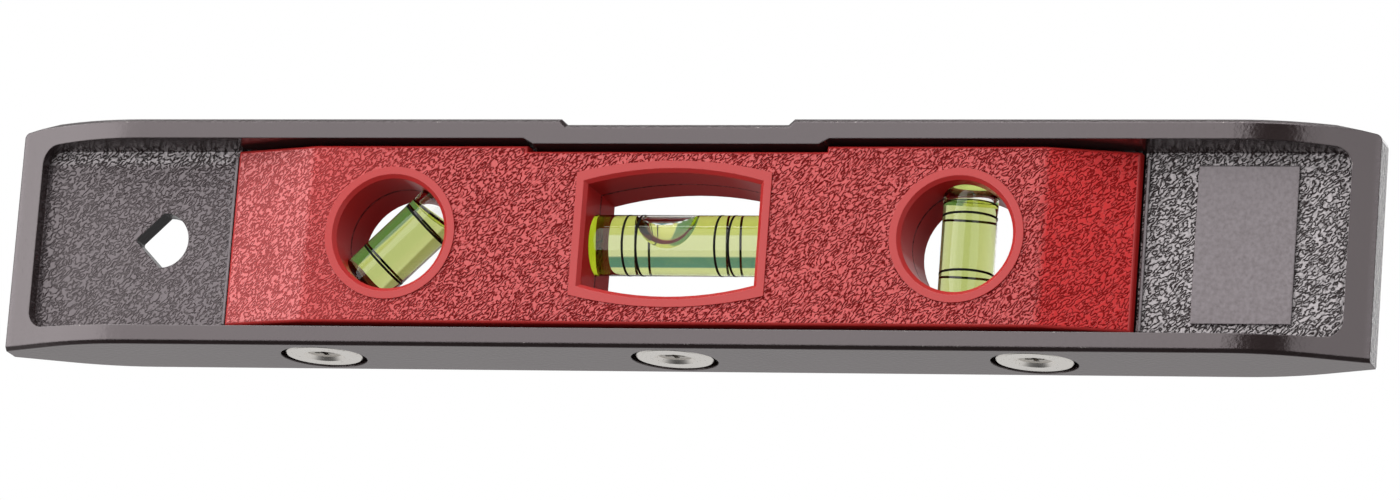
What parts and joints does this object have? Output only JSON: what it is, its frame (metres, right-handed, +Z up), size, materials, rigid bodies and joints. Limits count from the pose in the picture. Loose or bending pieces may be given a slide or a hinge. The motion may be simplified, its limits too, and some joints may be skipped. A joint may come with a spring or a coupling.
{
  "type": "pocket spirit level",
  "caption": "Magnetic pocket spirit level: a rimmed cast frame with tapered ends, a moulded housing with level, plumb and angle vials, and ring magnets in the base.",
  "frame": {"origin": "middle of the base: half length, mid thickness, on the magnetic face", "axes": "+X along the level towards the plumb vial, -Y out of the front, +Z up to the top face"},
  "size_m": [0.23, 0.0178, 0.0381],
  "materials": {
    "painted_casting": "die-cast, dark grey hammer-grain paint",
    "red_plastic": "moulded, satin",
    "clear_acrylic": "clear, polished",
    "vial_liquid": "clear yellow-green",
    "vial_plug": "moulded",
    "magnet_nickel": "nickel plated, satin face",
    "screw_steel": "bright"
  },
  "bodies": {
    "root": {"frame": "painted_casting", "front_housing": "red_plastic", "rear_housing": "red_plastic", "level_vial_tube": "clear_acrylic", "level_vial_liquid": "vial_liquid", "level_vial_plug": "vial_plug", "plumb_vial_tube": "clear_acrylic", "plumb_vial_liquid": "vial_liquid", "plumb_vial_plug": "vial_plug", "angle_vial_tube": "clear_acrylic", "angle_vial_liquid": "vial_liquid", "angle_vial_plug": "vial_plug", "magnet_left": "magnet_nickel", "magnet_centre": "magnet_nickel", "magnet_right": "magnet_nickel", "magnet_screw_left": "screw_steel", "magnet_screw_centre": "screw_steel", "magnet_screw_right": "screw_steel"}
  },
  "joints": []
}
